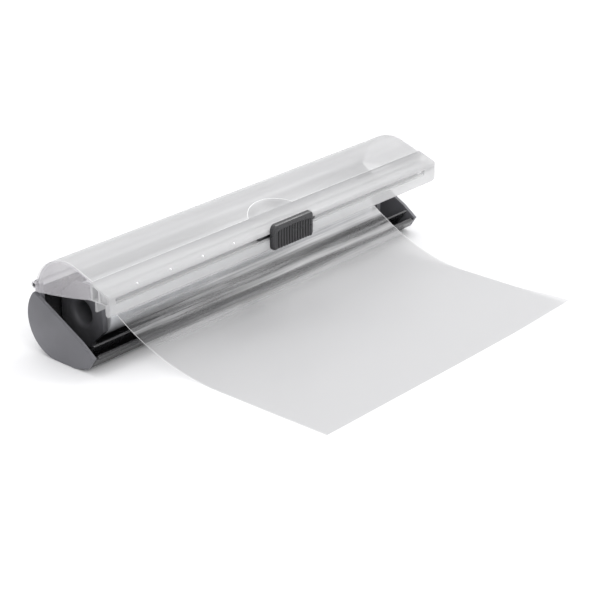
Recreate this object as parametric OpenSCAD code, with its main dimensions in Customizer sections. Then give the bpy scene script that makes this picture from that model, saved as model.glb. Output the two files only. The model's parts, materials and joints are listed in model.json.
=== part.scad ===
// Cling film dispenser: a trough that holds a film roll between two fixed plates, and a hinged
// translucent lid whose front rail carries a sliding cutter.
// X runs along the roll, -Y is the side the film is pulled to, +Z is up. The origin is on the
// resting surface, straight below the roll's axis. The lid is drawn part open.
// Lid profiles are drawn about the hinge axis, with the rail's front face upright.

/* [Overall] */
// Length over the end caps
length = 372; // [360:1:400]
// Angle of the lid above its closed position
lid_open = 36.5; // [36:0.1:38]
// Position of the cutter along the rail
slider_x = 2; // [-100:1:100]

/* [Tray] */
// Outer radius of the trough
tray_r = 28.6; // [28.3:0.1:28.7]
// Height of the roll's axis above the resting surface
axis_z = 29; // [29:0.1:29.3]
// Wall of the trough
tray_wall = 2.2; // [2:0.1:2.4]
// Thickness of an end cap
cap_t = 3; // [2.5:0.1:3.2]
// Gap between the rounded ends of the lip and the rib and an end cap
rail_gap = 4; // [3:0.5:6]

/* [Roll] */
// Width of the film on the roll
roll_w = 300; // [280:1:300]
// Radius of the film on the roll
roll_r = 21; // [17:0.5:21]
// Inner radius of the cardboard core
core_r = 13.5; // [13.5:0.1:14]
// Wall of the cardboard core
core_wall = 1.5; // [1:0.1:1.8]
// Radius of the hole through an end plate
plate_hole_r = 8.7; // [8:0.1:9.5]

/* [Lid] */
// Outer radius of the curved cover
shell_r = 32.4; // [32.3:0.1:32.6]
// Wall of the curved cover
shell_t = 1.8; // [1.5:0.1:2]
// Fall of the lid's flat front part
top_fall = 19.2; // [19:0.1:19.5]
// Height of the guide slot above the rail's floor
slot_h = 4; // [3.4:0.1:4]
// Pitch of the row of small pips along the rail
pip_pitch = 33; // [30:0.5:36]

/* [Slider] */
// Width of the slider's finger grip
knob_w = 46; // [40:1:50]
// Number of grip ribs
knob_ribs = 13; // [9:1:15]
// Thickness of the blade
blade_t = 0.4; // [0.3:0.1:0.6]

/* [Film] */
// Width of the pulled film
film_w = 290; // [270:1:296]
// How far the pulled film reaches in front of the roll's axis
film_reach = 222; // [180:1:240]
// Thickness that the film is drawn with
film_t = 0.2; // [0.2:0.05:0.3]

/* [Hidden] */
$fn = 96;
eps = 0.01;

half = length / 2;
tray_half = half - cap_t;

// hinge axis
hinge_y = 19.9;
hinge_z = 54.2;

// tray section
tray_base_z = axis_z - tray_r;
floor_front_y = -19;
back_top_angle = 46;
front_wall_y = -73;
front_wall_foot = -9.5;
foot_corner_r = 1.6;
foot_corner_step = 10.375;
lip_r = 2;
rear_lip_gap = 0.4;
lip_centre = [-72, 1.2];
rib_y = -63.8;
rib_t = 1.8;
rib_crest = 4.8;
rib_foot = -18.3;

// end cap outline: rear top, kink and lip corner, in the tray's own coordinates
cap_rear_top = [21.5, 48.4];
cap_kink = [-27.9, 22.2];
cap_lip = [-40.2, 13.5];
plug_depth = 5;
plug_t = 1.8;
plug_gap = 0.1;

// hinge
pin_r = 1.5;
pin_run = 0.05;
boss_r = 2.6;
ear_r = 3;
ear_t = 3.4;
ear_cut_r = 3.9;
ear_notch_z = 43;
end_wall_t = 2;

// roll end plates
plate_x = 159.2;
plate_t = 4.5;
plate_apothem = 22;
plate_mouth = 4;
spigot_len = 15;
spigot_run = 0.08;
saddle_w = 18;
core_len = 305;

// lid section, about the hinge axis
shell_y = -33.6;
shell_z = -5.8;
shell_start = 9.8;
seam_y = -60.7;
front_y = -79.2;
corner_r = 4;
skirt_rear_y = -75;
skirt_end_z = -0.9;
rail_floor_z = 5.3;
rail_floor_t = 1.2;
rail_wall = 1.8;
leg_end_z = -4.2;
leg_setback = 3.5;
box_front_y = -68.2;
cavity_rear_y = -70.4;
cavity_front_y = -77.2;
cavity_z = rail_floor_z + rail_floor_t;
slot_drop = 1;
slot_left = -180;
slot_right = 170;
slit_y = -72.4;
slit_w = 2.6;
slit_left = -178;
slit_right = 176;
stop_len = 5.5;
stop_gap = 0.1;
pip_r = 0.9;
pip_first = -156.5;
pip_count = 4;
pip_back = 2.6;
end_round = 3;
skirt_round = 9;

// thumb scoop: a sphere that cuts the flat front part of the lid
scoop_r = 100;
scoop_half = 31;
scoop_y = -77;
scoop_x = 1;

// slider
glide = 0.3;
carriage_len = 64;
neck_len = 26;
knob_gap = 0.4;
knob_d = 4;
knob_low = -2.9;
knob_high = 18;
knob_corner = 4;
grip_depth = 1;
arm_len = 20;
arm_t = 1.3;
blade_y = -67.5;
holder_t = 1.8;
holder_low = -0.6;
blade_top = 3.2;
blade_tip = -5.5;
blade_len = 15;

// film path: it leaves the roll's face and settles on the resting surface
film_gap = 0.3;
film_touch_y = -128;
film_near_y = -20.6;
film_near_z = 33.2;
film_power = 2.2;
film_steps = 16;
film_under = 0.02;

foot_t = 1.9;
foot_front_y = -14;
foot_front_w = 6;
foot_rear_y = 3;
foot_rear_w = 10;
foot_half = 150;

// height of the lid's flat front part at a given y, about the hinge axis
tangent_y = shell_y - shell_r * sin(top_fall);
tangent_z = shell_z + shell_r * cos(top_fall);
function top_z(y) = tangent_z + (y - tangent_y) * tan(top_fall);

// a point of the closed lid's frame in the tray's own coordinates
function closed_pt(y, z) = [
    hinge_y + y * cos(lid_open) - z * sin(lid_open),
    hinge_z + y * sin(lid_open) + z * cos(lid_open)];

// underside of the lid's end wall: a shallow bow, s in front of the hinge axis
function end_bow(s) = -4.75 + 0.1 * s + 0.00115 * s * s;

// height of the pulled film's underside
function film_z(y) = y < film_touch_y ? film_under :
    film_under + (film_near_z - film_under)
        * pow((y - film_touch_y) / (film_near_y - film_touch_y), film_power);

// Drawing aids: a YZ profile run along X from x0 to x1
module along_x(x0, x1)
    translate([x0, 0, 0])
        rotate([90, 0, 90])
            linear_extrude(height = x1 - x0)
                children();

module lid_at_rest()
    translate([0, hinge_y, hinge_z])
        children();

module closed_profile()
    translate([hinge_y, hinge_z])
        rotate(lid_open)
            children();

module both_ends() {
    children();
    mirror([1, 0, 0]) children();
}

module rail_end_ball(x, y, z, r) {
    p = closed_pt(y, z);
    translate([x, p[0], p[1]])
        sphere(r = r, $fn = 48);
}

// ---------- base ----------

module tray_back()
    along_x(-tray_half, tray_half) {
        difference() {
            translate([0, axis_z]) circle(r = tray_r);
            translate([0, axis_z]) circle(r = tray_r - tray_wall);
            translate([-60, -60]) square([60, 160]);
            translate([0, axis_z])
                rotate(back_top_angle)
                    square([60, 90]);
        }
        rear_lip();
    }

// thickened top edge of the rear wall, just under the lid's hinge bead
module rear_lip()
    translate([hinge_y, hinge_z - boss_r - rear_lip_gap])
        polygon([[-1.9, 0], [0.3, 0], [1.4, -3.3], [1.4, -4.6], [-1.5, -2.6]]);

// rounded corner where the sloping floor meets the front wall
function foot_corner() =
    let (c = closed_pt(front_wall_y + foot_corner_r, front_wall_foot + foot_corner_r))
        [for (a = [258 : -foot_corner_step : 216.4]) c + foot_corner_r * [cos(a), sin(a)]];

module tray_floor() {
    inner = closed_pt(front_wall_y + tray_wall, front_wall_foot + tray_wall);
    along_x(-tray_half, tray_half)
        polygon(concat([[0, tray_base_z], [floor_front_y, tray_base_z]], foot_corner(),
            [closed_pt(front_wall_y, lip_centre[1]), closed_pt(front_wall_y + tray_wall, lip_centre[1]),
            inner, [floor_front_y, tray_base_z + tray_wall], [0, tray_base_z + tray_wall]]));
}

module tray_lip() {
    lip_half = tray_half - rail_gap;
    along_x(-lip_half, lip_half)
        closed_profile()
            translate(lip_centre)
                circle(r = lip_r, $fn = 48);
    both_ends()
        rail_end_ball(lip_half, lip_centre[0], lip_centre[1], 0.95 * lip_r);
}

module tray_rib() {
    rib_half = tray_half - rail_gap;
    crest_z = rib_crest - rib_t / 2;
    along_x(-rib_half, rib_half)
        closed_profile() {
            translate([rib_y - rib_t / 2, rib_foot])
                square([rib_t, crest_z - rib_foot]);
            translate([rib_y, crest_z])
                circle(r = rib_t / 2 + 0.05, $fn = 48);
        }
    both_ends()
        rail_end_ball(rib_half, rib_y, crest_z, rib_t / 2);
}

module foot_block(y, w)
    translate([-foot_half, y - w / 2, 0])
        cube([2 * foot_half, w, foot_t]);

module tray()
    color([0.16, 0.16, 0.17])
        difference() {
            union() {
                tray_back();
                tray_floor();
                tray_lip();
                tray_rib();
            }
            foot_block(foot_front_y, foot_front_w);
            foot_block(foot_rear_y, foot_rear_w);
            both_ends()
                translate([tray_half - ear_t - 0.2, hinge_y - 6, ear_notch_z])
                    cube([10, 20, 20]);
        }

module foot_front()
    color([0.08, 0.08, 0.08])
        foot_block(foot_front_y, foot_front_w);

module foot_rear()
    color([0.08, 0.08, 0.08])
        foot_block(foot_rear_y, foot_rear_w);

module cap_outline()
    difference() {
        union() {
            translate([0, axis_z]) circle(r = tray_r);
            polygon(concat([[0, tray_base_z], [floor_front_y, tray_base_z]], foot_corner(),
                [cap_lip, cap_kink, [0, axis_z]]));
        }
        polygon([[30, cap_rear_top[1]], cap_rear_top, cap_kink, cap_lip, cap_lip + [-10, 0],
            [-60, 90], [30, 90]]);
    }

module cap_plug()
    along_x(tray_half - plug_depth, tray_half + eps)
        difference() {
            translate([0, axis_z]) circle(r = tray_r - tray_wall - plug_gap);
            translate([0, axis_z]) circle(r = tray_r - tray_wall - plug_gap - plug_t);
            translate([-60, -60]) square([60, 160]);
            translate([0, axis_z])
                rotate(20)
                    square([60, 90]);
        }

module hinge_ear()
    along_x(tray_half - ear_t, tray_half + eps)
        union() {
            translate([hinge_y, hinge_z]) circle(r = ear_r, $fn = 48);
            polygon([[hinge_y + 2.9, hinge_z], [hinge_y - 2.9, hinge_z], [hinge_y - 4, 40],
                [hinge_y + 1, ear_notch_z + 0.1], [hinge_y + 4.6, ear_notch_z + 0.1],
                [hinge_y + 1.7, 47.6]]);
        }

module end_cap_right()
    color([0.44, 0.44, 0.46])
        difference() {
            union() {
                along_x(tray_half, half) cap_outline();
                cap_plug();
                hinge_ear();
            }
            translate([tray_half - ear_t - 1, hinge_y, hinge_z])
                rotate([0, 90, 0])
                    cylinder(r = pin_r, h = ear_t + 1 + eps, $fn = 48);
        }

module end_cap_left()
    mirror([1, 0, 0]) end_cap_right();

module hinge_pin_right()
    color([0.2, 0.2, 0.22])
        translate([tray_half - ear_t, hinge_y, hinge_z])
            rotate([0, 90, 0])
                cylinder(r = pin_r, h = half - tray_half + ear_t, $fn = 48);

module hinge_pin_left()
    mirror([1, 0, 0]) hinge_pin_right();

// Fixed plate with a bell-mouthed hole and a hollow spigot that carries the core
module roll_plate_left() {
    spigot_r = core_r - spigot_run;
    color([0.38, 0.38, 0.4])
        translate([-plate_x, 0, axis_z])
            rotate([0, 90, 0])
                difference() {
                    union() {
                        rotate(22.5)
                            cylinder(r = plate_apothem / cos(22.5), h = plate_t, $fn = 8);
                        cylinder(r = spigot_r, h = plate_t + spigot_len);
                        intersection() {
                            cylinder(r = tray_r - tray_wall - plug_gap, h = plate_t);
                            translate([plate_apothem - 1, -saddle_w / 2, 0])
                                cube([8, saddle_w, plate_t]);
                        }
                    }
                    translate([0, 0, -1])
                        cylinder(r = plate_hole_r, h = plate_t + spigot_len + 2);
                    bell_mouth();
                }
}

// rounded flare at the mouth of the hole, turned about the roll's axis
module bell_mouth()
    rotate_extrude()
        difference() {
            translate([0, -1])
                square([plate_hole_r + plate_mouth, plate_mouth + 1]);
            translate([plate_hole_r + plate_mouth, plate_mouth])
                circle(r = plate_mouth, $fn = 64);
        }

module roll_plate_right()
    mirror([1, 0, 0]) roll_plate_left();

module film_sheet() {
    rise = [for (i = [0 : film_steps])
        let (y = film_near_y - film_gap + (film_touch_y - film_near_y + film_gap) * i / film_steps)
            [y, film_z(y)]];
    under = concat(rise, [[-film_reach, film_under]]);
    over = [for (i = [len(under) - 1 : -1 : 0]) under[i] + [0, film_t]];
    color([0.85, 0.85, 0.88, 0.4])
        along_x(-film_w / 2, film_w / 2)
            polygon(concat(under, over));
}

// ---------- roll ----------

module tube(r_out, r_in, len)
    translate([-len / 2, 0, axis_z])
        rotate([0, 90, 0])
            difference() {
                cylinder(r = r_out, h = len);
                translate([0, 0, -1]) cylinder(r = r_in, h = len + 2);
            }

module core_tube()
    color([0.72, 0.6, 0.45])
        tube(core_r + core_wall, core_r, core_len);

module film_roll()
    color([0.86, 0.86, 0.88])
        tube(roll_r, core_r + core_wall, roll_w);

// ---------- lid ----------

// everything under the lid's outer surface, from the seam back to the hinge
module lid_solid() {
    difference() {
        circle_part();
        translate([seam_y - 60, -60]) square([60, 120]);
    }
    polygon([[tangent_y, tangent_z], [seam_y, top_z(seam_y)], [seam_y, rail_floor_z],
        [shell_y, shell_z]]);
}

module circle_part()
    translate([shell_y, shell_z]) circle(r = shell_r);

// the hollow under the cover
module shell_hollow() {
    inner_y = tangent_y + shell_t * sin(top_fall);
    inner_z = tangent_z - shell_t * cos(top_fall);
    past_y = seam_y - 1;
    translate([shell_y, shell_z]) circle(r = shell_r - shell_t);
    polygon([[inner_y, inner_z], [past_y, inner_z + (past_y - inner_y) * tan(top_fall)],
        [past_y, -60], [shell_y, -60], [shell_y, shell_z]]);
}

module shell_profile()
    difference() {
        lid_solid();
        shell_hollow();
        translate([shell_y, shell_z])
            rotate(shell_start)
                translate([-60, -90]) square([120, 90]);
    }

module scoop_ball(r)
    translate([scoop_x, scoop_y, top_z(scoop_y)])
        rotate([top_fall, 0, 0])
            translate([0, 0, scoop_r - scoop_depth()])
                sphere(r = r, $fn = 160);

function scoop_depth() = scoop_half * scoop_half / (2 * scoop_r);

module hinge_bead(x0, x1)
    along_x(x0, x1)
        circle(r = boss_r, $fn = 48);

module lid_shell() {
    shell_half = half - end_wall_t;
    bead_half = tray_half - ear_t - 0.6;
    color([0.85, 0.86, 0.88, 0.5])
        lid_at_rest()
            difference() {
                union() {
                    along_x(-shell_half, shell_half) shell_profile();
                    hinge_bead(-bead_half, bead_half);
                    intersection() {
                        scoop_ball(scoop_r + shell_t);
                        along_x(scoop_x - 50, scoop_x + 50) lid_solid();
                    }
                }
                scoop_ball(scoop_r);
                both_ends()
                    translate([bead_half, 0, 0])
                        rotate([0, 90, 0])
                            cylinder(r = ear_cut_r, h = half);
            }
}

module lid_end_right() {
    bow = [for (s = [2 : 6 : 56]) [-s, end_bow(s)]];
    last_s = -seam_y;
    color([0.8, 0.81, 0.83, 0.5])
        lid_at_rest()
            difference() {
                union() {
                    along_x(half - end_wall_t, half)
                        difference() {
                            lid_solid();
                            polygon(concat([[10, end_bow(2)]], bow,
                                [[seam_y - 1, end_bow(last_s)], [seam_y - 1, -60], [10, -60]]));
                        }
                    hinge_bead(half - end_wall_t, half);
                }
                translate([half - end_wall_t - 1, 0, 0])
                    rotate([0, 90, 0])
                        cylinder(r = pin_r + pin_run, h = end_wall_t + 2, $fn = 48);
            }
}

module lid_end_left()
    mirror([1, 0, 0]) lid_end_right();

// outer outline of the rail: flat top, rounded front corner, front face and beaded skirt
module rail_outline() {
    corner_z = top_z(front_y);
    run = corner_r * tan((90 - top_fall) / 2);
    arc_z = corner_z - run;
    arc_y = front_y + corner_r;
    skirt_r = (skirt_rear_y - front_y) / 2;
    union() {
        polygon([[seam_y, rail_floor_z], [seam_y, top_z(seam_y)],
            [arc_y - corner_r * sin(top_fall), arc_z + corner_r * cos(top_fall)],
            [arc_y, arc_z], [front_y, arc_z], [front_y, rail_floor_z]]);
        translate([arc_y, arc_z]) circle(r = corner_r, $fn = 64);
        translate([front_y, skirt_end_z])
            square([skirt_rear_y - front_y, rail_floor_z + eps - skirt_end_z]);
        translate([front_y + skirt_r, skirt_end_z]) circle(r = skirt_r, $fn = 48);
    }
}

module box_hollow()
    polygon([[seam_y - rail_wall, cavity_z],
        [seam_y - rail_wall, top_z(seam_y - rail_wall) - rail_wall],
        [box_front_y, top_z(box_front_y) - rail_wall], [box_front_y, cavity_z]]);

module cavity_hollow(shrink)
    polygon([[cavity_rear_y - shrink, cavity_z + shrink],
        [cavity_rear_y - shrink, top_z(cavity_rear_y) - rail_wall - shrink],
        [cavity_front_y + 1.2 + shrink / 2, top_z(cavity_front_y) - rail_wall - shrink],
        [cavity_front_y + shrink, top_z(cavity_front_y) - rail_wall - 1 - shrink / 2],
        [cavity_front_y + shrink, cavity_z + shrink]]);

module cutter_rail()
    color([0.88, 0.89, 0.91, 0.5])
        lid_at_rest()
            difference() {
                union() {
                    along_x(-half, half) rail_outline();
                    along_x(-half + leg_setback, half - leg_setback)
                        translate([seam_y - rail_wall, leg_end_z])
                            square([rail_wall, rail_floor_z + eps - leg_end_z]);
                }
                along_x(-half - 1, half + 1) box_hollow();
                along_x(-half - 1, half + 1) cavity_hollow(0);
                translate([slot_left, front_y - 1, cavity_z - slot_drop])
                    cube([slot_right - slot_left, 1 + cavity_front_y - front_y, slot_h + slot_drop]);
                translate([slit_left, slit_y - slit_w / 2, rail_floor_z - 1])
                    cube([slit_right - slit_left, slit_w, rail_floor_t + 1 + eps]);
                end_rounding();
            }

// the rail's right end is rounded off, in plan and where the skirt meets the floor side
module end_rounding() {
    curve = [for (a = [8 : 18.5 : 82]) [end_round * sin(a), end_round * (1 - cos(a))]];
    translate([half - end_round, front_y, -20])
        linear_extrude(height = 60)
            polygon(concat([[0.3, -1]], curve, [[end_round + 1, end_round - 0.3], [end_round + 1, -1]]));
    translate([half - skirt_round, front_y - 1, skirt_end_z - 2.1])
        rotate([-90, 0, 0])
            difference() {
                translate([0, -skirt_round, 0]) cube([skirt_round + 1, skirt_round + 1, 6]);
                translate([0, -skirt_round, -1]) cylinder(r = 1.03 * skirt_round, h = 8);
            }
}

module rail_pips()
    color([0.93, 0.94, 0.95, 0.6])
        lid_at_rest()
            for (i = [0 : pip_count - 1])
                translate([pip_first + i * pip_pitch, front_y + pip_back, 0])
                    pip();

module pip()
    translate([0, 0, top_z(front_y + pip_back)])
        difference() {
            sphere(r = pip_r, $fn = 32);
            rotate([top_fall, 0, 0])
                translate([-2, -2, -4])
                    cube([4, 4, 4]);
        }

module rail_stop_left()
    color([0.9, 0.91, 0.93, 0.6])
        lid_at_rest()
            along_x(-half + 0.4, -half + 0.4 + stop_len)
                cavity_hollow(stop_gap);

module rail_stop_right()
    color([0.9, 0.91, 0.93, 0.6])
        lid_at_rest()
            along_x(half - 0.4 - stop_len, half - 0.4)
                cavity_hollow(stop_gap);

// ---------- slider ----------

module slider_carriage()
    color([0.25, 0.25, 0.27])
        lid_at_rest()
            translate([slider_x, 0, 0]) {
                along_x(-carriage_len / 2, carriage_len / 2)
                    cavity_hollow(glide);
                translate([-neck_len / 2, front_y - knob_gap, cavity_z + glide])
                    cube([neck_len, cavity_front_y + glide - front_y + knob_gap + eps,
                        slot_h - 2 * glide]);
            }

// front view of the grip, with rounded corners
module grip_plate(w, low, high, r)
    union() {
        translate([-w / 2 + r, low]) square([w - 2 * r, high - low]);
        translate([-w / 2, low + r]) square([w, high - low - 2 * r]);
        for (sx = [-1, 1], z = [low + r, high - r])
            translate([sx * (w / 2 - r), z]) circle(r = r, $fn = 48);
    }

module slider_knob() {
    rear_y = front_y - knob_gap;
    rib_span = knob_w - 2 * knob_corner;
    rib_pitch = rib_span / knob_ribs;
    color([0.24, 0.24, 0.26])
        lid_at_rest()
            translate([slider_x, rear_y, 0])
                difference() {
                    rotate([90, 0, 0])
                        linear_extrude(height = knob_d)
                            grip_plate(knob_w, knob_low, knob_high, knob_corner);
                    for (i = [0 : knob_ribs])
                        translate([-rib_span / 2 + i * rib_pitch, -knob_d, knob_low - 1])
                            cylinder(r = grip_depth, h = knob_high - knob_low - 5, $fn = 24);
                }
}

module blade_holder()
    color([0.3, 0.3, 0.32])
        lid_at_rest()
            difference() {
                translate([slider_x, 0, 0]) {
                    translate([-arm_len / 2, slit_y - slit_w / 2 + glide, rail_floor_z - glide - arm_t])
                        cube([arm_len, slit_w - 2 * glide, cavity_z + 2 * glide - rail_floor_z + arm_t]);
                    translate([-arm_len / 2, slit_y - slit_w / 2 + glide, rail_floor_z - glide - arm_t])
                        cube([arm_len, blade_y + holder_t / 2 - slit_y + slit_w / 2 - glide, arm_t]);
                    translate([-arm_len / 2, blade_y - holder_t / 2, holder_low])
                        cube([arm_len, holder_t, rail_floor_z - glide - holder_low]);
                }
                translate([slider_x - arm_len, blade_y - blade_t / 2, holder_low - 1])
                    cube([2 * arm_len, blade_t, blade_top + 1 - holder_low]);
                rivet_body(0);
            }

module blade_outline()
    polygon([[-blade_len / 2, blade_top], [blade_len / 2, blade_top], [blade_len / 2, 0],
        [0, blade_tip], [-blade_len / 2, 0]]);

module blade()
    color([0.75, 0.76, 0.78])
        lid_at_rest()
            difference() {
                translate([slider_x, blade_y + blade_t / 2, 0])
                    rotate([90, 0, 0])
                        linear_extrude(height = blade_t)
                            blade_outline();
                rivet_body(0);
            }

module rivet_body(grow)
    translate([slider_x, blade_y + holder_t / 2, 1.5])
        rotate([90, 0, 0])
            cylinder(r = 0.8 + grow, h = holder_t, $fn = 32);

module blade_rivet()
    color([0.7, 0.7, 0.72])
        lid_at_rest()
            rivet_body(0);

tray();
end_cap_left();
end_cap_right();
foot_front();
foot_rear();
hinge_pin_left();
hinge_pin_right();
roll_plate_left();
roll_plate_right();
film_sheet();
core_tube();
film_roll();
lid_shell();
lid_end_left();
lid_end_right();
cutter_rail();
rail_pips();
rail_stop_left();
rail_stop_right();
slider_knob();
slider_carriage();
blade_holder();
blade();
blade_rivet();
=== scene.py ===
"""Looks of a cling film dispenser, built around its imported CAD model. Metres, in the CAD frame."""

import json
import math

import bmesh
import bpy
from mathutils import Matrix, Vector, noise

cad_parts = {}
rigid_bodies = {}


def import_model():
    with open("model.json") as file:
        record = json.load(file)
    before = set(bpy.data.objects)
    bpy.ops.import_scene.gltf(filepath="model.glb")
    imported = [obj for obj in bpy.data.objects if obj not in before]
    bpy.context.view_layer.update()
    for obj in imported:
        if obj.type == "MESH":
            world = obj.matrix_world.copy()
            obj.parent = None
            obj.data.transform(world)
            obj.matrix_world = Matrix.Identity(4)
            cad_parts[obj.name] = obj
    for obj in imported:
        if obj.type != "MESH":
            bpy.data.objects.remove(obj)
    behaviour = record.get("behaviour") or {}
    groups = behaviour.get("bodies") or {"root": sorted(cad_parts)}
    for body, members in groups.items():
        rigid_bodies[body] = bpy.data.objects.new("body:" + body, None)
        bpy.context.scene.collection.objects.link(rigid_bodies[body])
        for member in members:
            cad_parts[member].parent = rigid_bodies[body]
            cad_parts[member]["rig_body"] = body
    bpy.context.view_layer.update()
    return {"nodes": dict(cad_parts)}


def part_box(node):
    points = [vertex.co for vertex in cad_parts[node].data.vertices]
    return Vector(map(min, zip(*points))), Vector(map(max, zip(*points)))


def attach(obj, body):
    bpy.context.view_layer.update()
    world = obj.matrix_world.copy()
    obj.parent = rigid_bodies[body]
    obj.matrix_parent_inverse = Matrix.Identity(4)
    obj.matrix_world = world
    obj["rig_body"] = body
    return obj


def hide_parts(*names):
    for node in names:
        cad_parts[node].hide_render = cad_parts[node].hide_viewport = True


MM = 0.001

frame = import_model()
nodes = frame["nodes"]

# places taken from the frame
film_end_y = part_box("film_sheet")[0].y
rail_bottom_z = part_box("cutter_rail")[0].z
knob_low, knob_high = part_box("slider_knob")
knob_middle = (knob_low.x + knob_high.x) / 2
knob_half = (knob_high.x - knob_low.x) / 2
knob_tall = knob_high.z - knob_low.z
knob_deep = knob_high.y - knob_low.y


# ---------------------------------------------------------------- materials

class Nodes:
    """A short way to build a node material around one Principled shader."""

    def __init__(self, name, color, roughness, metallic=0.0):
        self.material = bpy.data.materials.new(name)
        self.material.use_nodes = True
        self.tree = self.material.node_tree
        self.shader = self.tree.nodes["Principled BSDF"]
        self.shader.inputs["Base Color"].default_value = (*color, 1)
        self.shader.inputs["Roughness"].default_value = roughness
        self.shader.inputs["Metallic"].default_value = metallic
        self.height = None

    def add(self, kind, **values):
        node = self.tree.nodes.new(kind)
        for key, value in values.items():
            if key in node.inputs:
                node.inputs[key].default_value = value
            else:
                setattr(node, key, value)
        return node

    def link(self, out, into):
        self.tree.links.new(out, into)

    def position(self, scale=(1, 1, 1)):
        """Object position, stretched by scale."""
        coords = self.add("ShaderNodeTexCoord")
        mapping = self.add("ShaderNodeMapping", Scale=scale)
        self.link(coords.outputs["Object"], mapping.inputs["Vector"])
        return mapping.outputs["Vector"]

    def noise(self, scale, detail=3.0, stretch=(1, 1, 1), roughness=0.5):
        node = self.add("ShaderNodeTexNoise", Scale=scale, Detail=detail, Roughness=roughness)
        self.link(self.position(stretch), node.inputs["Vector"])
        return node.outputs["Fac"]

    def ramp(self, value, low, high, start=0.3, end=0.7):
        """value from start to end becomes low to high; colours or numbers."""
        node = self.add("ShaderNodeValToRGB")
        node.color_ramp.elements[0].position = start
        node.color_ramp.elements[1].position = end
        for element, shade in zip(node.color_ramp.elements, (low, high)):
            shade = shade if hasattr(shade, "__len__") else (shade, shade, shade)
            element.color = (*shade, 1)
        self.link(value, node.inputs["Fac"])
        return node.outputs["Color"]

    def bump(self, value, distance, strength=1.0):
        node = self.add("ShaderNodeBump", Distance=distance, Strength=strength)
        self.link(value, node.inputs["Height"])
        if self.height is not None:
            self.link(self.height, node.inputs["Normal"])
        self.height = node.outputs["Normal"]
        self.link(self.height, self.shader.inputs["Normal"])

    def drive(self, socket, value):
        self.link(value, self.shader.inputs[socket])

    def set(self, **values):
        for key, value in values.items():
            self.shader.inputs[key.replace("_", " ")].default_value = value
        return self


def moulded_plastic(name, color, lighter, roughness, gloss=0.4, grain=2600.0, depth=0.012 * MM):
    """Moulded plastic with a fine grain, faint flow marks and slightly uneven gloss."""
    m = Nodes(name, color, roughness)
    m.drive("Base Color", m.ramp(m.noise(14.0, 4.0, (0.35, 1, 1)), color, lighter))
    m.drive("Roughness", m.ramp(m.noise(60.0, 3.0), roughness - 0.05, roughness + 0.07))
    m.bump(m.noise(grain, 2.0), depth)
    m.bump(m.noise(9.0, 2.0, (0.3, 1, 1)), 0.25 * MM, 0.25)
    return m.set(Specular_IOR_Level=gloss).material


def frosted_plastic(name, dark, light, alpha, roughness):
    """Translucent polypropylene: long draw lines along the moulding and a soft sheen."""
    m = Nodes(name, light, roughness)
    m.drive("Base Color", m.ramp(m.noise(26.0, 3.0, (0.04, 1, 1)), dark, light, 0.35, 0.65))
    m.drive("Roughness", m.ramp(m.noise(90.0, 3.0, (0.1, 1, 1)), roughness - 0.06, roughness + 0.08))
    m.bump(m.noise(1500.0, 2.0), 0.008 * MM)
    m.bump(m.noise(30.0, 2.0, (0.05, 1, 1)), 0.25 * MM, 0.3)
    return m.set(Alpha=alpha, Coat_Weight=0.25, Coat_Roughness=0.25).material


def rubber(name, color):
    m = Nodes(name, color, 0.75)
    m.drive("Base Color", m.ramp(m.noise(120.0), color, tuple(1.6 * c for c in color)))
    m.bump(m.noise(1800.0, 2.0), 0.03 * MM)
    return m.material


# the painted white reflection streaks lie where the film is drawn tight, on the roll's side of one
# line, and fade out toward the slack film beyond the other
FILM_DRAWN_Y = -0.046
FILM_SLACK_Y = -0.066
# the clear tone is the film's own; the second tone and its alpha are a painted white reflection
FILM_CLEAR = (0.14, 0.14, 0.145)
FILM_REFLECTION = (0.82, 0.82, 0.83)
FILM_CLEAR_ALPHA = 0.33
FILM_REFLECTION_ALPHA = 0.62


def wrap_film(name):
    """A single layer of stretch film: clear where it is slack, and painted with long soft white
    reflection streaks, lighter and less clear, where it is drawn tight near the roll."""
    m = Nodes(name, FILM_CLEAR, 0.3)
    split = m.add("ShaderNodeSeparateXYZ")
    m.link(m.position(), split.inputs["Vector"])
    drawn = m.add("ShaderNodeMapRange")
    drawn.inputs["From Min"].default_value = FILM_SLACK_Y
    drawn.inputs["From Max"].default_value = FILM_DRAWN_Y
    m.link(split.outputs["Y"], drawn.inputs["Value"])
    streaks = m.ramp(m.noise(110.0, 4.0, (0.025, 1, 1), 0.6), 0.0, 1.0, 0.4, 0.64)
    reflection_amount = m.add("ShaderNodeMath", operation="MULTIPLY")
    m.link(drawn.outputs["Result"], reflection_amount.inputs[0])
    m.link(streaks, reflection_amount.inputs[1])
    # the painted reflection makes the film lighter and less clear
    m.drive("Base Color", m.ramp(reflection_amount.outputs["Value"], FILM_CLEAR, FILM_REFLECTION, 0.0, 1.0))
    m.drive("Alpha", m.ramp(reflection_amount.outputs["Value"], FILM_CLEAR_ALPHA, FILM_REFLECTION_ALPHA, 0.0, 1.0))
    m.bump(m.noise(120.0, 3.0, (0.05, 1, 1)), 0.2 * MM, 0.5)
    m.bump(m.noise(16.0, 3.0), 0.5 * MM, 0.2)
    return m.set(Specular_IOR_Level=0.5, Coat_Weight=0.35, Coat_Roughness=0.22).material


def film_rim(name):
    """The sheet's two side edges, where the film thickens and is less clear; their near-white colour is
    a painted highlight.
    """
    m = Nodes(name, (0.85, 0.85, 0.87), 0.15)
    m.drive("Base Color", m.ramp(m.noise(60.0, 3.0, (1, 0.2, 1)), 0.72, 0.9))
    m.bump(m.noise(300.0, 2.0, (1, 0.2, 1)), 0.05 * MM)
    return m.set(Alpha=0.85, Coat_Weight=1.0, Coat_Roughness=0.05).material


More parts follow.
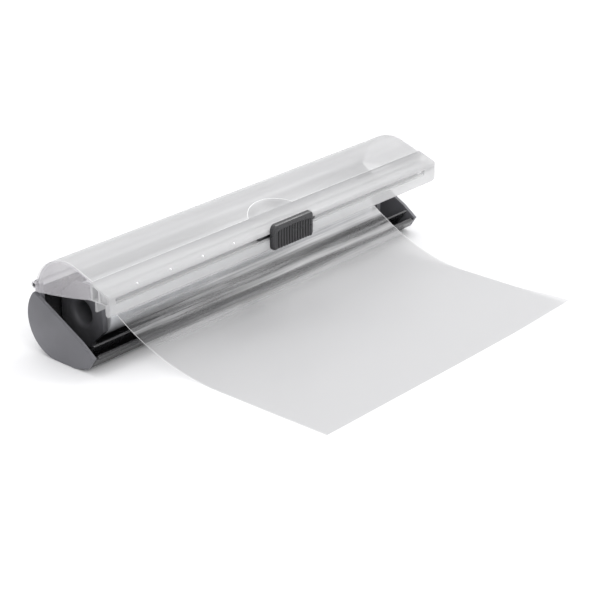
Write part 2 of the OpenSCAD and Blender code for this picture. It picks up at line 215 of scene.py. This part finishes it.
def wound_film(name):
    """Many layers of film on the roll: milky white, with bands round it and tension streaks."""
    m = Nodes(name, (0.7, 0.71, 0.74), 0.18)
    bands = m.noise(55.0, 3.0, (1, 0.02, 0.02))
    m.drive("Base Color", m.ramp(bands, (0.68, 0.69, 0.72), (0.84, 0.85, 0.88), 0.3, 0.7))
    m.bump(m.noise(140.0, 3.0, (1, 0.05, 0.05)), 0.15 * MM, 0.4)
    m.bump(m.noise(25.0, 3.0, (0.5, 1, 1)), 0.4 * MM, 0.35)
    return m.set(Coat_Weight=0.7, Coat_Roughness=0.08).material


def cardboard(name):
    """Paper board wound in a spiral."""
    m = Nodes(name, (0.5, 0.38, 0.25), 0.85)
    m.drive("Base Color", m.ramp(m.noise(300.0, 5.0), (0.42, 0.31, 0.2), (0.58, 0.45, 0.31)))
    wave = m.add("ShaderNodeTexWave", Scale=22.0, Distortion=0.0)
    m.link(m.position((1, 0.25, 0.25)), wave.inputs["Vector"])
    m.bump(wave.outputs["Fac"], 0.12 * MM, 0.4)
    m.bump(m.noise(900.0, 4.0), 0.04 * MM)
    return m.material


def steel(name):
    """Ground blade steel, with fine marks across it."""
    m = Nodes(name, (0.62, 0.63, 0.65), 0.3, 1.0)
    m.drive("Roughness", m.ramp(m.noise(900.0, 4.0, (1, 1, 0.05)), 0.2, 0.42))
    m.bump(m.noise(2500.0, 2.0, (1, 1, 0.04)), 0.01 * MM)
    return m.material


tray_plastic = moulded_plastic("tray_plastic", (0.016, 0.016, 0.017), (0.026, 0.026, 0.028), 0.24, 0.8)
cap_plastic = moulded_plastic("cap_plastic", (0.12, 0.12, 0.13), (0.17, 0.17, 0.185), 0.42, 0.35)
plate_plastic = moulded_plastic("plate_plastic", (0.085, 0.085, 0.092), (0.125, 0.125, 0.135), 0.4, 0.3)
pin_plastic = moulded_plastic("pin_plastic", (0.03, 0.03, 0.033), (0.05, 0.05, 0.055), 0.35)
knob_plastic = moulded_plastic("knob_plastic", (0.02, 0.02, 0.022), (0.032, 0.032, 0.035), 0.28, 0.6)
# the deepest faces of the grip's grooves are painted near-black, as painted shade
knob_groove_shade = moulded_plastic("knob_groove_shade", (0.006, 0.006, 0.006), (0.01, 0.01, 0.01), 0.4)
slider_plastic = moulded_plastic("slider_plastic", (0.04, 0.04, 0.043), (0.06, 0.06, 0.065), 0.4)
foot_rubber = rubber("foot_rubber", (0.025, 0.025, 0.026))
lid_plastic = frosted_plastic("lid_plastic", (0.45, 0.45, 0.455), (0.68, 0.68, 0.685), 0.58, 0.36)
panel_plastic = frosted_plastic("panel_plastic", (0.66, 0.64, 0.67), (0.8, 0.78, 0.8), 0.28, 0.3)
rail_plastic = frosted_plastic("rail_plastic", (0.36, 0.36, 0.365), (0.6, 0.6, 0.605), 0.58, 0.32)
# a near-white painted highlight for the lid's cut ends, rounded bends, panel rims and skirt bead, and
# for the rail's pips
lid_edge_highlight = frosted_plastic("lid_edge_highlight", (0.86, 0.86, 0.87), (0.95, 0.95, 0.96), 0.95, 0.25)
film_layer = wrap_film("film_layer")
film_edge_highlight = film_rim("film_edge_highlight")
film_wound = wound_film("film_wound")
core_board = cardboard("core_board")
blade_steel = steel("blade_steel")


# ---------------------------------------------------------------- mesh helpers

# while a piece is built, points this close are joined, and faces within this many degrees are one face
JOIN = 0.002 * MM
LEVEL = 0.8
# points of a finished mesh this close are one point
SAME = 0.0002 * MM
# how squarely, from 0 to 1, a cut end or an end wall's outer face looks along the roll
END_SQUARE = 0.9
WALL_SQUARE = 0.99
# the outer face of an end wall lies within this of its outermost point
WALL_NEAR = 0.01 * MM
# the rim round an end wall's panel, how far the panel is sunk, and the height of the skirt's bead
RIM = 1.5 * MM
PANEL_SUNK = 0.5 * MM
SKIRT_BEAD = 1.5 * MM


def piece(name, mesh, material, body, replaced=(), second=None):
    """A visible piece that rides on a body and may stand for CAD nodes. With a second material, the
    mesh's own material numbers say which faces have it."""
    obj = bpy.data.objects.new(name, mesh)
    bpy.context.scene.collection.objects.link(obj)
    numbers = [polygon.material_index for polygon in mesh.polygons]
    mesh.materials.clear()
    mesh.materials.append(material)
    if second:
        mesh.materials.append(second)
        mesh.polygons.foreach_set("material_index", numbers)
    if replaced:
        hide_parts(*replaced)
    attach(obj, body)
    return obj


def smooth(mesh, angle=32.0):
    """Smooth shading that keeps edges sharper than angle, in degrees."""
    mesh.polygons.foreach_set("use_smooth", [True] * len(mesh.polygons))
    mesh.set_sharp_from_angle(angle=math.radians(angle))


def on_cut_end(face):
    """True on the cut ends of a long moulding, which take the painted highlight on pieces that have
    one.
    """
    return abs(face.normal.x) > END_SQUARE


def on_skirt_or_end(face):
    """True on the rail's cut ends and on the rounded lower edge of its skirt, which get a painted white
    highlight.
    """
    return on_cut_end(face) or face.calc_center_median().z < rail_bottom_z + SKIRT_BEAD


def on_no_face(face):
    """For a piece whose rounded edges alone get the painted highlight."""
    return False


def softened(node, material, width, segments=2, edge=None, bright_bends=False, prepare=None,
             bright=on_cut_end, crease=35.0):
    """A copy of a CAD node with its sharp edges rounded over, as a mould leaves them.

    edge is a material for the faces that bright picks, and for the rounded edges too with bright_bends;
    the lid's pieces give a painted highlight here.
    prepare changes the joined-up mesh before its edges are rounded, and returns more faces for edge.
    crease is the angle in degrees from which an edge is rounded.
    """
    mesh = nodes[node].data.copy()
    bm = bmesh.new()
    bm.from_mesh(mesh)
    bmesh.ops.remove_doubles(bm, verts=bm.verts, dist=JOIN)
    bmesh.ops.dissolve_limit(bm, angle_limit=math.radians(LEVEL), verts=bm.verts, edges=bm.edges)
    for face in bm.faces:
        face.material_index = 1 if edge and bright(face) else 0
    if prepare:
        for face in prepare(bm):
            face.material_index = 1
    bm.to_mesh(mesh)
    bm.free()
    mesh.materials.clear()
    mesh.materials.append(material)
    mesh.materials.append(edge or material)
    scratch = bpy.data.objects.new("scratch", mesh)
    bpy.context.scene.collection.objects.link(scratch)
    bevel = scratch.modifiers.new("bevel", "BEVEL")
    bevel.width = width
    bevel.segments = segments
    bevel.limit_method = "ANGLE"
    bevel.angle_limit = math.radians(crease)
    bevel.use_clamp_overlap = True
    bevel.material = 1 if edge and bright_bends else -1
    tri = scratch.modifiers.new("tri", "TRIANGULATE")
    tri.min_vertices = 5
    shaped = bpy.data.meshes.new_from_object(
        scratch.evaluated_get(bpy.context.evaluated_depsgraph_get()))
    bpy.data.objects.remove(scratch)
    shaped.name = node + "_mesh"
    without_slivers(shaped)
    smooth(shaped)
    return piece(node + "_shown", shaped, material, nodes[node]["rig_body"], [node], edge)


def without_slivers(mesh):
    """Joins points that lie on each other, which also takes out the empty triangles between them."""
    bm = bmesh.new()
    bm.from_mesh(mesh)
    bmesh.ops.remove_doubles(bm, verts=bm.verts, dist=SAME)
    bm.to_mesh(mesh)
    bm.free()


def recess_outer_face(bm):
    """Sinks the panel inside an end wall's outer face, and returns the faces of the rim round it, which
    get the painted highlight.
    """
    sign = 1 if next(iter(bm.verts)).co.x > 0 else -1
    end = max(sign * v.co.x for v in bm.verts)
    outer = [f for f in bm.faces
             if f.normal.x * sign > WALL_SQUARE and sign * f.verts[0].co.x > end - WALL_NEAR]
    return bmesh.ops.inset_region(bm, faces=outer, thickness=RIM, depth=-PANEL_SUNK,
                                  use_even_offset=True)["faces"]


def grid_mesh(name, rows):
    """A mesh through rows of points, all the same length."""
    bm = bmesh.new()
    lines = [[bm.verts.new(p) for p in row] for row in rows]
    for a, b in zip(lines, lines[1:]):
        for i in range(len(a) - 1):
            bm.faces.new((a[i], a[i + 1], b[i + 1], b[i]))
    bmesh.ops.recalc_face_normals(bm, faces=bm.faces)
    mesh = bpy.data.meshes.new(name)
    bm.to_mesh(mesh)
    bm.free()
    smooth(mesh, angle=60.0)
    return mesh


# ---------------------------------------------------------------- carried pieces

softened("tray", tray_plastic, 0.35 * MM)
for side in ("left", "right"):
    softened("end_cap_" + side, cap_plastic, 0.7 * MM, 3)
    softened("roll_plate_" + side, plate_plastic, 0.5 * MM)
    softened("hinge_pin_" + side, pin_plastic, 0.3 * MM)
    softened("lid_end_" + side, panel_plastic, 0.25 * MM,
             edge=lid_edge_highlight, bright_bends=True, prepare=recess_outer_face, bright=on_no_face)
    softened("rail_stop_" + side, rail_plastic, 0.3 * MM)
for side in ("front", "rear"):
    softened("foot_" + side, foot_rubber, 0.3 * MM)
softened("core_tube", core_board, 0.2 * MM)
softened("film_roll", film_wound, 0.4 * MM)
# the low crease angle lets the scoop's shallow rim take the painted highlight too
softened("lid_shell", lid_plastic, 0.4 * MM, edge=lid_edge_highlight, bright_bends=True, crease=11.0)
softened("cutter_rail", rail_plastic, 0.35 * MM, edge=lid_edge_highlight, bright_bends=True,
         bright=on_skirt_or_end)
softened("slider_carriage", slider_plastic, 0.4 * MM)
softened("blade_holder", slider_plastic, 0.2 * MM)
softened("blade", blade_steel, 0.05 * MM)
softened("blade_rivet", blade_steel, 0.1 * MM)
# the rail's small pips are coloured with the painted highlight, as glints
softened("rail_pips", lid_edge_highlight, 0.05 * MM)


# frosted plastic lets most of the light through, so the lid casts no shadow of its own
for name in ("lid_shell", "cutter_rail", "lid_end_left", "lid_end_right"):
    bpy.data.objects[name + "_shown"].visible_shadow = False


# ---------------------------------------------------------------- the slider's finger grip

GRIP_RIBS = 13
GRIP_COLUMNS = 20 * GRIP_RIBS
GRIP_ROWS = 72
GRIP_CORNER = 4 * MM  # radius of the outline's corners
GRIP_EDGE = 1.5 * MM  # rounding of the front's edge
GRIP_BAND = 4.2 * MM  # height of the smooth band on top
GRIP_BAND_BOW = 1.5 * MM  # how much lower the band reaches at its sides
GRIP_BAND_BLEND = 1.2 * MM
GRIP_SIDE = 3.0 * MM  # width of the smooth margin at each side
GRIP_SIDE_BLEND = 0.8 * MM
GRIP_STEP = 0.4 * MM  # how far the ribs stand below the band
GRIP_GROOVE = 1.1 * MM  # depth of the grooves
GRIP_NOTCH = 0.9 * MM  # how far each groove notches the lower edge
GRIP_NOTCH_FADE = 2.5 * MM
GROOVE_GAIN = 1.6  # these two make the wave of the ribs steeper
GROOVE_SHIFT = 0.3
GROOVE_SHADE_START = 0.55  # how far into a groove, from 0 to 1, its faces of painted shade begin


def ease(t):
    """0 up to t = 0, 1 from t = 1 on, and a smooth step between."""
    t = max(0.0, min(1.0, t))
    return t * t * (3 - 2 * t)


def grip_point(u, z):
    """A point of the grip's skin, u from -1 to 1 across and z up, and how far it is into a groove."""
    into = max(0.0, GRIP_CORNER - min(z, knob_tall - z))
    w = knob_half - GRIP_CORNER + math.sqrt(max(0.0, GRIP_CORNER ** 2 - into ** 2))
    x = u * w
    gap = min((1 - abs(u)) * w, z, knob_tall - z)
    round_off = math.sqrt(1 - (1 - min(1.0, gap / GRIP_EDGE)) ** 2)
    band = knob_tall - GRIP_BAND - GRIP_BAND_BOW * (x / knob_half) ** 2
    ribbed = knob_half - GRIP_SIDE
    below = ease((band - z) / GRIP_BAND_BLEND) * ease((ribbed - abs(x)) / GRIP_SIDE_BLEND)
    wave = 0.5 - 0.5 * math.cos(2 * math.pi * x * GRIP_RIBS / (2 * ribbed))
    groove = ease(wave * GROOVE_GAIN - GROOVE_SHIFT) * below
    out = knob_deep * round_off - (GRIP_GROOVE * groove + GRIP_STEP * below) * round_off
    lift = GRIP_NOTCH * groove * (1 - ease(z / GRIP_NOTCH_FADE))
    return Vector((knob_middle + x, knob_high.y - out, knob_low.z + z + lift)), groove


def knob_mesh():
    """One skin for the grip: a rounded front with a smooth band on top and upright ribs below, with
    painted shade deep in the grooves.
    """
    rows = []
    dark = []
    for j in range(GRIP_ROWS + 1):
        z = (0.5 - 0.5 * math.cos(math.pi * j / GRIP_ROWS)) * knob_tall
        row = []
        for i in range(GRIP_COLUMNS + 1):
            point, groove = grip_point(-1 + 2 * i / GRIP_COLUMNS, z)
            dark.append(groove > GROOVE_SHADE_START)
            row.append(point)
        rows.append(row)
    mesh = grid_mesh("knob_mesh", rows)
    bm = bmesh.new()
    bm.from_mesh(mesh)
    # faces deep in a groove take the painted shade
    for face in bm.faces:
        face.material_index = 1 if all(dark[v.index] for v in face.verts) else 0
    bmesh.ops.remove_doubles(bm, verts=bm.verts, dist=JOIN)
    # a fan of faces closes the back
    hub = bm.verts.new((knob_middle, knob_high.y, (knob_low.z + knob_high.z) / 2))
    for a, b in [e.verts[:] for e in bm.edges if e.is_boundary]:
        bm.faces.new((a, b, hub))
    bmesh.ops.recalc_face_normals(bm, faces=bm.faces)
    bm.to_mesh(mesh)
    bm.free()
    smooth(mesh, angle=80.0)
    return mesh


piece("slider_grip", knob_mesh(), knob_plastic, "slider", ["slider_knob"], knob_groove_shade)


# ---------------------------------------------------------------- the pulled film

FILM_COLUMNS = 120
FILM_STEPS = 110
FILM_NEAR = Vector((0, -0.0209, 0.0333))  # where it leaves the roll
FILM_TOUCH_Y = -0.128  # where it reaches the table
FILM_POWER = 2.2  # of its fall from the roll to the table
FILM_ABOVE = 0.12 * MM  # added to its height everywhere
ROLL_HALF = 0.1478  # half its width at the roll
FREE_HALF = 0.145  # half its width at the free edge
NARROWS_OVER = 0.09
EDGE_STRIP = 0.5 * MM
RIPPLES_START_OVER = 0.02
SETTLES_BEFORE = 0.03  # it starts to settle this far before it reaches the table
SETTLES_OVER = 0.05
SETTLED_RISE = 0.35 * MM
SWELL_HANGING = 0.6 * MM
SWELL_SETTLED = 0.4 * MM
CREASE_HANGING = 0.12 * MM
SWELL_ACROSS = 14  # how closely the ripples follow each other across and along the film
SWELL_SLANT = 6
SWELL_ALONG = 16
CREASE_ACROSS = 70
CREASE_ALONG = 12
SWELL_SLICE = 3.0  # the slice of the noise that each kind of ripple is taken from
CREASE_SLICE = 9.0
CURL_X = 0.06  # the front corner on the right curls up beyond this x and this y
CURL_Y = -0.17
CURL_WIDE = 0.085  # and is fully up after this width and this length
CURL_LONG = 0.05
CURL_LIFT = 2.5 * MM


def film_height(y):
    if y < FILM_TOUCH_Y:
        return 0.0
    return FILM_NEAR.z * ((y - FILM_TOUCH_Y) / (FILM_NEAR.y - FILM_TOUCH_Y)) ** FILM_POWER


def film_half(y):
    """Half the film's width: it narrows a little as it is pulled."""
    return ROLL_HALF + (FREE_HALF - ROLL_HALF) * ease((FILM_NEAR.y - y) / NARROWS_OVER)


def film_point(u, y):
    """A point of the sheet, with the soft ripples that a hand leaves in it."""
    x = u * film_half(y)
    free = ease((FILM_NEAR.y - y) / RIPPLES_START_OVER)
    laid = ease((FILM_TOUCH_Y + SETTLES_BEFORE - y) / SETTLES_OVER)
    swell = noise.noise(Vector((x * SWELL_ACROSS + y * SWELL_SLANT, y * SWELL_ALONG, SWELL_SLICE)))
    crease = noise.noise(Vector((x * CREASE_ACROSS, y * CREASE_ALONG, CREASE_SLICE)))
    ripple = (SWELL_HANGING * (1 - laid) + SWELL_SETTLED * laid) * swell
    ripple += CREASE_HANGING * (1 - laid) * crease
    corner = ease((x - CURL_X) / CURL_WIDE) * ease((CURL_Y - y) / CURL_LONG)
    z = film_height(y) + free * ripple + CURL_LIFT * corner + SETTLED_RISE * laid
    return Vector((x, y, max(z, 0.0) + FILM_ABOVE))


# the side strips begin at this share of the half width
strip_starts = 1 - EDGE_STRIP / FREE_HALF
across_film = [-1 + 2 * i / FILM_COLUMNS for i in range(FILM_COLUMNS + 1)]
across_film = sorted(across_film + [-strip_starts, strip_starts])
film_rows = []
for j in range(FILM_STEPS + 1):
    y = FILM_NEAR.y + (film_end_y - FILM_NEAR.y) * j / FILM_STEPS
    film_rows.append([film_point(u, y) for u in across_film])
film_mesh = grid_mesh("film_mesh", film_rows)
if film_mesh.polygons[0].normal.z < 0:
    film_mesh.flip_normals()
film = piece("film_pulled", film_mesh, film_layer, "base", ["film_sheet"], film_edge_highlight)
# the side strips take the painted edge highlight
for polygon in film_mesh.polygons:
    if abs(polygon.center.x) > film_half(polygon.center.y) * strip_starts:
        polygon.material_index = 1
# a single clear layer casts next to no shadow
film.visible_shadow = False


# ---------------------------------------------------------------- stage, light and camera

FLOOR_HALF = 4
floor_sides = (-FLOOR_HALF, FLOOR_HALF)
floor_mesh = grid_mesh("floor_mesh", [[Vector((x, y, 0)) for x in floor_sides] for y in floor_sides])
floor = bpy.data.objects.new("floor", floor_mesh)
bpy.context.scene.collection.objects.link(floor)
floor_mesh.materials.append(Nodes("floor_paint", (0.9, 0.9, 0.905), 0.7).material)

world = bpy.data.worlds.new("studio")
world.use_nodes = True
world.node_tree.nodes["Background"].inputs["Color"].default_value = (1, 1, 1.01, 1)
world.node_tree.nodes["Background"].inputs["Strength"].default_value = 1.0
bpy.context.scene.world = world


def area_light(name, place, target, size, power):
    light = bpy.data.lights.new(name, "AREA")
    light.shape = "RECTANGLE"
    light.size, light.size_y = size
    light.energy = power
    obj = bpy.data.objects.new(name, light)
    bpy.context.scene.collection.objects.link(obj)
    obj.location = place
    obj.rotation_euler = (Vector(target) - Vector(place)).to_track_quat("-Z", "Y").to_euler()
    return obj


area_light("key", (-0.5, -1.2, 1.0), (0, 0, 0), (1.2, 1.0), 7)
area_light("top", (0.2, 0.7, 1.6), (0, 0, 0), (1.6, 1.0), 4)
area_light("strip", (1.03, -0.03, 1.09), (0, 0, 0), (0.8, 0.3), 4)

bpy.context.scene.view_settings.view_transform = "Standard"

camera_data = bpy.data.cameras.new("camera")
camera_data.lens = 108
camera_data.sensor_width = 36
camera = bpy.data.objects.new("camera", camera_data)
bpy.context.scene.collection.objects.link(camera)
camera.location = (-0.9535, -0.9058, 0.5653)
camera.rotation_euler = (math.radians(66.23), 0, math.radians(-48.81))
bpy.context.scene.camera = camera

bpy.context.view_layer.update()
